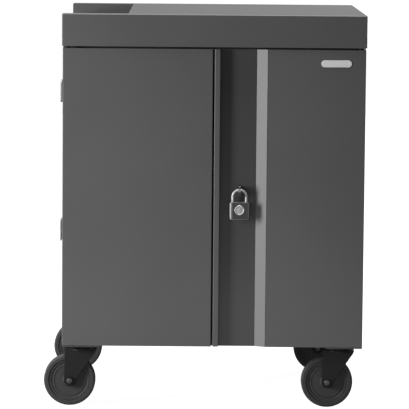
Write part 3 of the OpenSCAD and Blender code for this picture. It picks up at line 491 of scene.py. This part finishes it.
strip_end = 0.006
strip_screw_rise = 0.015
strip_ends = [
    ((s * (strip_high.x - strip_end), strip_high.y, z + rise), (0, 1, 0))
    for s in (-1, 1)
    for z in strip_rows
    for rise in (-strip_screw_rise, strip_screw_rise)
]
spread("strip_screws", screws, strip_ends, {"Head Radius": 0.003}, zinc_plate, "cabinet", "zinc_steel")

controller_enamel = powder_coat("controller_enamel", (0.40, 0.41, 0.42), (0.44, 0.45, 0.46), grain=0.05)
soften(
    "controller_case", "charge_controller", controller_enamel, "cabinet", "controller_paint",
    edge=0.003, rounds=3,
)
case_low, case_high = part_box("charge_controller")
fins, size = new_tree("cooling_fins", {"Fin Length": 0.07, "Fin Width": 0.002, "Fin Height": 0.003})
fin = (size["Fin Length"], size["Fin Width"], size["Fin Height"])
repeat(fins, [tree_block(fins, (0.0, 0.0, times(fins, size["Fin Height"], 0.5)), fin)])
fin_x = case_low.x + 0.05
fin_end = 0.02
fin_rows = steps(case_low.z + fin_end, case_high.z - fin_end, 12)
case_fins = [((fin_x, case_high.y, z), (0, 1, 0)) for z in fin_rows]
spread("controller_fins", fins, case_fins, {}, controller_enamel, "cabinet", "controller_paint")
lamp_green = moulded("lamp_green", (0.02, 0.25, 0.05), (0.03, 0.30, 0.06), rough=(0.15, 0.2), depth=0.02)
lamps, size = new_tree("lamps", {"Lamp Radius": 0.0025})
lamp = {"Segments": 16, "Rings": 10, "Radius": size["Lamp Radius"]}
repeat(lamps, [add(lamps, "GeometryNodeMeshUVSphere", lamp).outputs[0]])
lamp_x = case_high.x - 0.025
lamp_rows = steps(case_high.z - 0.055, case_high.z - 0.025, 3)
lamp_places = [((lamp_x, case_high.y, z), (0, 1, 0)) for z in lamp_rows]
spread("controller_lamps", lamps, lamp_places, {}, lamp_green, "cabinet", "controller_paint")

# Power inlet
# A snap-in black inlet low on the left side, with three flat pins in its socket and a rocker
# switch above it that has raised on and off marks.
dress(black_plastic, "power_rocker")
soften("soft_inlet", "power_inlet", black_plastic, "cabinet", "black_plastic", edge=0.0008)


def blocks(name, boxes, soft=0.0):
    work = bmesh.new()
    for low, high in boxes:
        corners = bmesh.ops.create_cube(work, size=1.0)["verts"]
        bmesh.ops.scale(work, vec=Vector(high) - Vector(low), verts=corners)
        bmesh.ops.translate(work, vec=(Vector(high) + Vector(low)) / 2, verts=corners)
    if soft:
        bmesh.ops.bevel(work, geom=work.edges[:], offset=soft, segments=2, profile=0.5, affect="EDGES")
    mesh = bpy.data.meshes.new(name)
    work.to_mesh(mesh)
    work.free()
    return mesh


inlet_low, inlet_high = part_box("power_inlet")
inlet_y = (inlet_low.y + inlet_high.y) / 2
inlet_z = (inlet_low.z + inlet_high.z) / 2
socket_z = inlet_z - 0.015
pin_back = inlet_low.x + 0.015
pin_front = inlet_low.x + 0.004
pin_half_w = 0.001
pin_half_h = 0.0028
pins = []
for y, z in ((-0.007, -0.002), (0.0, 0.003), (0.007, -0.002)):
    pin_low = (pin_front, inlet_y + y - pin_half_w, socket_z + z - pin_half_h)
    pin_high = (pin_back, inlet_y + y + pin_half_w, socket_z + z + pin_half_h)
    pins.append((pin_low, pin_high))
place("inlet_pins", blocks("inlet_pins", pins, soft=0.0004), zinc_plate, "cabinet", "zinc_steel")

mark_white = moulded("mark_white", grey(0.55), grey(0.6), depth=0.02)
rocker_z = inlet_z + 0.013
on_marks, size = new_tree("on_marks", {"Mark Length": 0.004, "Mark Width": 0.0008})
mark_rise = 0.0004
mark_spans = (size["Mark Length"], size["Mark Width"], mark_rise)
repeat(on_marks, [tree_block(on_marks, (0.0, 0.0, 0.0), mark_spans)])
on_spot = (inlet_low.x - 0.00134, inlet_y, rocker_z - 0.0039)
on_facing = (-0.954, 0, 0.3)
spread("on_mark", on_marks, [(on_spot, on_facing)], {}, mark_white, "rocker", "black_plastic")
off_marks, size = new_tree("off_marks", {"Ring Radius": 0.0017, "Line Radius": 0.0003})
mark_ring = tree_ring(off_marks, size["Ring Radius"], 24)
repeat(off_marks, [swept(off_marks, mark_ring, tree_ring(off_marks, size["Line Radius"], 6))])
off_spot = (inlet_low.x - 0.00008, inlet_y, rocker_z + 0.0050)
off_facing = (-1.0, 0, -0.025)
spread("off_mark", off_marks, [(off_spot, off_facing)], {}, mark_white, "rocker", "black_plastic")

# Cord hooks
# Two grey moulded hooks, each held by two screws to the left side, over which the supply cord
# is wound.
hook_plastic = moulded(
    "hook_plastic", (0.25, 0.25, 0.255), (0.29, 0.29, 0.295), rough=(0.4, 0.5), depth=0.08
)
soften("soft_hooks", "cord_hooks", hook_plastic, "cabinet", "hook_plastic", edge=0.0012, rounds=3)
hook_low, hook_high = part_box("cord_hooks")
hook_face = hook_high.x - 0.0025
hook_y = (hook_low.y + hook_high.y) / 2
hook_middle = 0.0285
hook_screw_rise = 0.015
hook_screws = [
    ((hook_face, hook_y, z + rise), (-1, 0, 0))
    for z in (hook_low.z + hook_middle, hook_high.z - hook_middle)
    for rise in (-hook_screw_rise, hook_screw_rise)
]
spread("hook_screws", screws, hook_screws, {"Head Radius": 0.0045}, zinc_plate, "cabinet", "zinc_steel")

# Lid and push grip
# A deep lid of welded sheet steel with rounded edges, in the cabinet's coat. A well at its left
# end holds a bolted bar with a ribbed black sleeve for pushing.
soften("soft_lid", "lid", cabinet_coat, "cabinet", "cabinet_paint", edge=0.0015, rounds=3)
dress(zinc_plate, "grip_bolts")
grip_rubber = moulded("grip_rubber", (0.020, 0.020, 0.021), (0.027, 0.027, 0.028), rough=(0.6, 0.75))
soften("smooth_grip", "grip_bar", grip_rubber, "cabinet", "grip_rubber", edge=0.001)
grip_low, grip_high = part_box("grip_bar")
grip_middle = (grip_low + grip_high) / 2
grip_r = (grip_high.x - grip_low.x) / 2
ribs, size = new_tree("sleeve_ribs", {"Sleeve Radius": grip_r, "Rib Radius": 0.0011})
sleeve = tree_ring(ribs, size["Sleeve Radius"], 40)
repeat(ribs, [swept(ribs, sleeve, tree_ring(ribs, size["Rib Radius"], 6))])
sleeve_end = 0.03
rib_rows = steps(grip_low.y + sleeve_end, grip_high.y - sleeve_end, 92)
rib_places = [((grip_middle.x, y, grip_middle.z), (0, 1, 0)) for y in rib_rows]
spread("sleeve_ribs", ribs, rib_places, {}, grip_rubber, "cabinet", "grip_rubber")

# Front doors
# Two hollow doors of folded sheet with a screwed liner, turning on pins top and bottom, and
# held shut by magnetic catches.
soften("left_door_skin", "left_door_panel", cabinet_coat, "left_door", "cabinet_paint", edge=0.0008)
soften("right_door_skin", "right_door_panel", cabinet_coat, "right_door", "cabinet_paint", edge=0.0008)
dress(inner_coat, "left_door_liner", "right_door_liner")
dress(zinc_plate, "left_strike_plate", "right_strike_plate")
dark_steel = brushed("dark_steel", grey(0.014), grey(0.020), rough=(0.5, 0.6), stretch=spangle)
dress(dark_steel, "door_pivot_pins")
soften("soft_catches", "door_catches", black_plastic, "cabinet", "black_plastic", edge=0.0015)


def liner_screws(door, facing):
    row_end = 0.010
    column_end = 0.012
    low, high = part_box(door + "_liner")
    face_y = high.y if facing > 0 else low.y
    rows = steps(low.z + row_end, high.z - row_end, 5)
    columns = steps(low.x + column_end, high.x - column_end, 4)
    edge = [(x, z) for x in (columns[0], columns[-1]) for z in rows]
    edge += [(x, z) for x in columns[1:-1] for z in (rows[0], rows[-1])]
    places = [((x, face_y, z), (0, facing, 0)) for x, z in edge]
    spread(door + "_screws", screws, places, {"Head Height": 0.0014}, zinc_plate, door, "zinc_steel")


liner_screws("left_door", 1)
liner_screws("right_door", 1)

# Lock recess
# A full-height channel in the right door: a dark inlay on its floor, a silver-grey strip on its
# sloped side, a steel staple coloured dark as painted shade with a painted highlight where the shackle
# crosses it, and a bare plate near the door's corner.
accent_coat = powder_coat("accent_coat", grey(0.116), grey(0.124), rough=(0.5, 0.58))
dress(accent_coat, "accent_strip")

staple_low, staple_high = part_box("lock_staple")
staple_x = (staple_low.x + staple_high.x) / 2
staple_z = (staple_low.z + staple_high.z) / 2
shackle_rod_z = 0.5435
highlight_spot = (staple_x, staple_low.y, shackle_rod_z)
highlight_inner = 0.0055
highlight_outer = 0.0075
highlight_wobble = 0.003
# The staple's colour is painted light: bright steel in a ragged spot where the shackle crosses it is a
# painted highlight, and the dark steel everywhere else is painted shade.
staple_painted_light, tree, shader = new_finish("staple_painted_light")
spot = surface_spot(tree)
grit = noise(tree, spot, scale=260.0, detail=3.0)
reach = add(tree, "ShaderNodeVectorMath", {0: spot, 1: highlight_spot}, operation="DISTANCE").outputs["Value"]
reach = add(tree, "ShaderNodeMath", {0: grit, 1: highlight_wobble, 2: reach}, operation="MULTIPLY_ADD").outputs[0]
tint(tree, shader, reach, grey(0.34), grey(0.07), start=highlight_inner, end=highlight_outer)
polish(tree, shader, grit, (0.5, 0.65))
shader.inputs["Metallic"].default_value = 1.0
dress(staple_painted_light, "lock_staple")

inlay_coat = powder_coat("inlay_coat", grey(0.040), grey(0.047), rough=(0.36, 0.46), gloss=0.35)
inlay_t = 0.0004
panel_low, panel_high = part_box("right_door_panel")
recess_left = panel_low.x + 0.013
recess_right = recess_left + 0.089
recess_floor = panel_low.y + 0.014
inlay_face = recess_floor - inlay_t
slot_half = 0.0027
slot_left = staple_x - slot_half
slot_right = staple_x + slot_half
slot_low = staple_z - 0.0162
slot_high = staple_z + 0.0102
inlay = [
    ((recess_left, inlay_face, panel_low.z), (slot_left, recess_floor, panel_high.z)),
    ((slot_right, inlay_face, panel_low.z), (recess_right, recess_floor, panel_high.z)),
    ((slot_left, inlay_face, panel_low.z), (slot_right, recess_floor, slot_low)),
    ((slot_left, inlay_face, slot_high), (slot_right, recess_floor, panel_high.z)),
]
place("recess_inlay", blocks("recess_inlay", inlay), inlay_coat, "right_door", "cabinet_paint")


def closed_mesh(name, points, faces):
    mesh = bpy.data.meshes.new(name)
    mesh.from_pydata(points, [], faces)
    work = bmesh.new()
    work.from_mesh(mesh)
    bmesh.ops.remove_doubles(work, verts=work.verts, dist=1e-7)
    bmesh.ops.recalc_face_normals(work, faces=work.faces)
    work.to_mesh(mesh)
    work.free()
    return mesh


def pill(name, middle, wide, tall, levels, turns=16):
    points = []
    for inset, lift in levels:
        radius = tall / 2 - inset
        reach = (wide - tall) / 2
        for i in range(2 * turns):
            end = 1 if i < turns else -1
            angle = math.pi * (i + 0.5) / turns - math.pi / 2
            spot = Vector((end * reach + radius * math.cos(angle), -lift, radius * math.sin(angle)))
            points.append(Vector(middle) + spot)
    ring = 2 * turns
    faces = [tuple(range(ring)), tuple(range((len(levels) - 1) * ring, len(levels) * ring))]
    for k in range(len(levels) - 1):
        for i in range(ring):
            j = (i + 1) % ring
            faces.append((k * ring + i, k * ring + j, (k + 1) * ring + j, (k + 1) * ring + i))
    return closed_mesh(name, points, faces)


plate_enamel = powder_coat("plate_enamel", grey(0.60), grey(0.66), rough=(0.3, 0.38), grain=0.04)
plate_low, plate_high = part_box("bare_plate")
plate_middle = ((plate_low.x + plate_high.x) / 2, plate_high.y, (plate_low.z + plate_high.z) / 2)
plate_wide = plate_high.x - plate_low.x
plate_tall = plate_high.z - plate_low.z
plate_levels = [(0.0, 0.0), (0.0, 0.0009), (0.00015, 0.00125), (0.0005, 0.0014)]
plate_mesh = pill("plain_plate", plate_middle, plate_wide, plate_tall, plate_levels)
place("plain_plate", plate_mesh, plate_enamel, "right_door", "accent_paint", "bare_plate")

# Padlock
# A brushed steel case with rounded edges, a dark cover over its face and a plain turned disc on
# that. A plated shackle slides up out of it, and a key plug turns in its underside.
drawn_marks = (300.0, 300.0, 6.0)
buffed_marks = (60.0, 60.0, 60.0)
lock_steel = brushed("lock_steel", grey(0.20), grey(0.24), rough=(0.5, 0.6), stretch=drawn_marks)
soften("lock_case", "padlock_body", lock_steel, "padlock", "lock_steel", edge=0.0035, rounds=5)
lock_cover = moulded("lock_cover", grey(0.034), grey(0.042), rough=(0.4, 0.5))
cover_t = 0.0004
cover_left = 0.0065
cover_right = 0.0035
cover_end = 0.0010
lock_low, lock_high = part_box("padlock_body")
cover_low = (lock_low.x + cover_left, lock_low.y - cover_t, lock_low.z + cover_end)
cover_high = (lock_high.x - cover_right, lock_low.y + cover_t, lock_high.z - cover_end)
place("lock_cover", blocks("lock_cover", [(cover_low, cover_high)]), lock_cover, "padlock", "lock_steel")
shackle_steel = brushed("shackle_steel", grey(0.38), grey(0.44), rough=(0.6, 0.7), stretch=buffed_marks)
soften("smooth_shackle", "padlock_shackle", shackle_steel, "shackle", "shackle_chrome", edge=0.0004)
bright_steel = brushed(
    "bright_steel", (0.62, 0.62, 0.63), (0.70, 0.70, 0.71), rough=(0.12, 0.2), stretch=buffed_marks
)
soften("smooth_plug", "padlock_plug", bright_steel, "key_plug", "disc_steel", edge=0.0003)


def turned(name, outline, middle, axis, turns=96):
    along = Vector(axis).normalized()
    side = along.orthogonal().normalized()
    other = along.cross(side)
    points = []
    for i in range(turns):
        angle = 2 * math.pi * i / turns
        out = math.cos(angle) * side + math.sin(angle) * other
        points += [Vector(middle) + radius * out + rise * along for radius, rise in outline]
    count = len(outline)
    faces = []
    for i in range(turns):
        here = i * count
        there = ((i + 1) % turns) * count
        for k in range(count):
            faces.append((here + k, here + (k + 1) % count, there + (k + 1) % count, there + k))
    return closed_mesh(name, points, faces)


disc_low, disc_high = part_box("padlock_disc")
disc_r = (disc_high.x - disc_low.x) / 2
disc_t = disc_high.y - disc_low.y
disc_middle = ((disc_low.x + disc_high.x) / 2, disc_high.y, (disc_low.z + disc_high.z) / 2)
rim_outer = disc_r - 0.0006
rim_inner = disc_r - 0.0022
rim_foot = disc_r - 0.0028
disc_outline = [
    (0.0, 0.0),
    (disc_r, 0.0),
    (disc_r, 0.5 * disc_t),
    (rim_outer, disc_t),
    (rim_inner, disc_t),
    (rim_foot, 0.6 * disc_t),
    (0.45 * disc_r, 0.55 * disc_t),
    (0.42 * disc_r, 0.75 * disc_t),
    (0.0, 0.8 * disc_t),
]
disc_mesh = turned("turned_disc", disc_outline, disc_middle, (0, -1, 0), turns=64)
disc_steel = brushed("disc_steel", grey(0.42), grey(0.48), rough=(0.5, 0.6), stretch=buffed_marks)
place("turned_disc", disc_mesh, disc_steel, "padlock", "disc_steel", "padlock_disc")

# Rear door
# A vented service door on pins, with pressed lips round its slots and a cam lock that turns
# behind a keeper on the post. The lock's face has a keyhole.
soften("rear_door_skin", "rear_door_panel", cabinet_coat, "rear_door", "cabinet_paint")
dress(inner_coat, "rear_door_liner")
dress(zinc_plate, "lock_keeper")
soften("cam_lock_case", "rear_lock_case", bright_steel, "rear_door", "zinc_steel", edge=0.0006)
soften("lock_cam", "rear_lock_cam", zinc_plate, "rear_lock", "zinc_steel", edge=0.0005)
lip_clear = 0.0008
lips, size = new_tree("vent_lips", {"Slot Length": 0.09, "Slot Height": 0.006, "Lip Radius": 0.0009})
lip_length = add(lips, "ShaderNodeMath", {0: size["Slot Length"], 1: lip_clear}).outputs[0]
lip_height = add(lips, "ShaderNodeMath", {0: size["Slot Height"], 1: lip_clear}).outputs[0]
lip = {"Width": lip_length, "Height": lip_height}
lip = add(lips, "GeometryNodeCurvePrimitiveQuadrilateral", lip).outputs[0]
lip = {"Curve": lip, "Count": 6, "Radius": times(lips, lip_height, 0.499), "Limit Radius": True}
lip = add(lips, "GeometryNodeFilletCurve", lip, mode="POLY").outputs[0]
repeat(lips, [swept(lips, lip, tree_ring(lips, size["Lip Radius"], 8))])
vent_end = 0.06
vent_pitch = 0.016
vent_rows = 8
vent_x = 0.13
vent_run = (vent_rows - 1) * vent_pitch
rear_low, rear_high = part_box("rear_door_panel")
vent_lips = [
    ((x, rear_high.y, z + i * vent_pitch), (0, 1, 0))
    for x in (-vent_x, vent_x)
    for z in (rear_low.z + vent_end, rear_high.z - vent_end - vent_run)
    for i in range(vent_rows)
]
spread("vent_lips", lips, vent_lips, {}, cabinet_coat, "rear_door", "cabinet_paint")
liner_screws("rear_door", -1)
cam_low, cam_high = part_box("rear_lock_case")
keyway_middle = Vector(((cam_low.x + cam_high.x) / 2, cam_high.y, (cam_low.z + cam_high.z) / 2))
keyway_half = Vector((0.0008, 0.0002, 0.0035))
keyway = [(keyway_middle - keyway_half, keyway_middle + keyway_half)]
place("rear_keyway", blocks("rear_keyway", keyway), black_plastic, "rear_lock", "zinc_steel")

# Casters
# Four plate casters bolted under the base: forks pressed from sheet steel in a black satin coat,
# made darker still as painted shade for the shadow under the base, moulded plastic cores turning
# on an axle bolt, and black rubber tyres on the cores.
# The caster coat is black satin made darker still as painted shade for the shadow under the cabinet. The
# plates, their bolts, the forks and the axle bolts all take it.
caster_coat_and_shade = powder_coat("caster_coat_and_shade", grey(0.011), grey(0.014), rough=(0.45, 0.55), gloss=0.15)
soften("soft_plates", "caster_plates", caster_coat_and_shade, "cabinet", "caster_paint", edge=0.0010)
soften("soft_bolts", "caster_bolts", caster_coat_and_shade, "cabinet", "zinc_steel", edge=0.0006)


def arc(middle, radius, start, end, count):
    angles = [math.radians(angle) for angle in steps(start, end, count)]
    return [(middle[0] + radius * math.cos(a), middle[1] + radius * math.sin(a)) for a in angles]


def mirrored(half):
    return half + [(radius, -rise) for radius, rise in reversed(half)]


tyre_low, tyre_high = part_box("front_left_tread")
hub_low, hub_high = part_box("front_left_hub")
tyre_r = (tyre_high.z - tyre_low.z) / 2
tyre_half = (tyre_high.y - tyre_low.y) / 2
hub_r = (hub_high.z - hub_low.z) / 2
hub_half = (hub_high.y - hub_low.y) / 2
shoulder = 0.005
tyre_chamfer = 0.001
tyre_rubber = moulded(
    "tyre_rubber", grey(0.031), grey(0.037), rough=(0.6, 0.72), depth=0.06, gloss=0.25
)
half_tyre = [(hub_r, tyre_half - tyre_chamfer), (hub_r + tyre_chamfer, tyre_half)]
half_tyre += arc((tyre_r - shoulder, tyre_half - shoulder), shoulder, 84.0, 0.0, 10)
tyre_outline = mirrored(half_tyre)

bore = 0.00505
boss_r = 0.015
boss_chamfer = 0.0015
boss_fillet = 0.001
web_half = 0.0125
bead_middle = 0.0390
bead_foot = 0.0375
bead_r = 0.0011
rim_r = 0.0445
rim_half = 0.014
rim_draft = 0.0015
rim_chamfer = 0.0008
core_plastic = moulded(
    "core_plastic", grey(0.034), grey(0.040), rough=(0.5, 0.6), depth=0.06, gloss=0.2
)
half_hub = [(bore, hub_half), (boss_r - boss_chamfer, hub_half), (boss_r, hub_half - boss_chamfer)]
half_hub += [(boss_r + boss_fillet, web_half + boss_fillet), (boss_r + 2 * boss_fillet, web_half)]
half_hub += [(bead_foot, web_half)]
half_hub += arc((bead_middle, web_half), bead_r, 180.0, 0.0, 5)
half_hub += [(rim_r, web_half), (rim_r + rim_draft, rim_half)]
half_hub += [(hub_r - rim_chamfer, rim_half), (hub_r, rim_half - rim_chamfer)]
hub_outline = mirrored(half_hub)

axle_dome = {"Flange Radius": 0.0066, "Dome Height": 0.0016}
axle_steel = brushed("axle_steel", grey(0.09), grey(0.12), rough=(0.4, 0.5), stretch=spangle)
for corner in ("front_left", "front_right", "rear_left", "rear_right"):
    swivel = corner + "_swivel"
    wheel = corner + "_wheel"
    low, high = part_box(corner + "_tread")
    middle = (low + high) / 2
    tyre = turned(corner + "_tyre", tyre_outline, middle, (0, 1, 0))
    place(corner + "_tyre", tyre, tyre_rubber, wheel, "tread_rubber", corner + "_tread")
    core = turned(corner + "_core", hub_outline, middle, (0, 1, 0))
    place(corner + "_core", core, core_plastic, wheel, "hub_plastic", corner + "_hub")
    soften(corner + "_soft_fork", corner + "_fork", caster_coat_and_shade, swivel, "caster_paint", edge=0.0008)
    soften(corner + "_soft_axle", corner + "_axle", caster_coat_and_shade, swivel, "zinc_steel", edge=0.0008)
    axle_low, axle_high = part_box(corner + "_axle")
    axle_faces = ((axle_low.y, -1), (axle_high.y, 1))
    axle_ends = [((middle.x, y, middle.z), (0, facing, 0)) for y, facing in axle_faces]
    spread(corner + "_axle_ends", rivets, axle_ends, axle_dome, axle_steel, swivel, "zinc_steel")

# Brakes
# A moulded foot pedal on each rear caster that presses its shoe onto the tyre, with raised
# grips across its pad.
pad_length = 0.026
pad_rise = 0.005
pad_drop = 0.0002
pad_facing = (-pad_rise, 0, pad_length)
grips, size = new_tree("pedal_grips", {"Grip Length": 0.020, "Grip Width": 0.0018, "Grip Height": 0.0014})
grip = (size["Grip Width"], size["Grip Length"], size["Grip Height"])
repeat(grips, [tree_block(grips, (0.0, 0.0, 0.0), grip)])
for side in ("rear_left", "rear_right"):
    pedal = side + "_pedal"
    low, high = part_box(side + "_brake")
    pad_y = (low.y + high.y) / 2
    pad_top = high.z - pad_drop
    grip_places = [
        ((high.x - share * pad_length, pad_y, pad_top - share * pad_rise), pad_facing)
        for share in (0.16, 0.39, 0.62, 0.85)
    ]
    spread(side + "_grips", grips, grip_places, {}, black_plastic, pedal, "black_plastic")
    soften(side + "_soft_pedal", side + "_brake", black_plastic, pedal, "black_plastic", edge=0.0008)
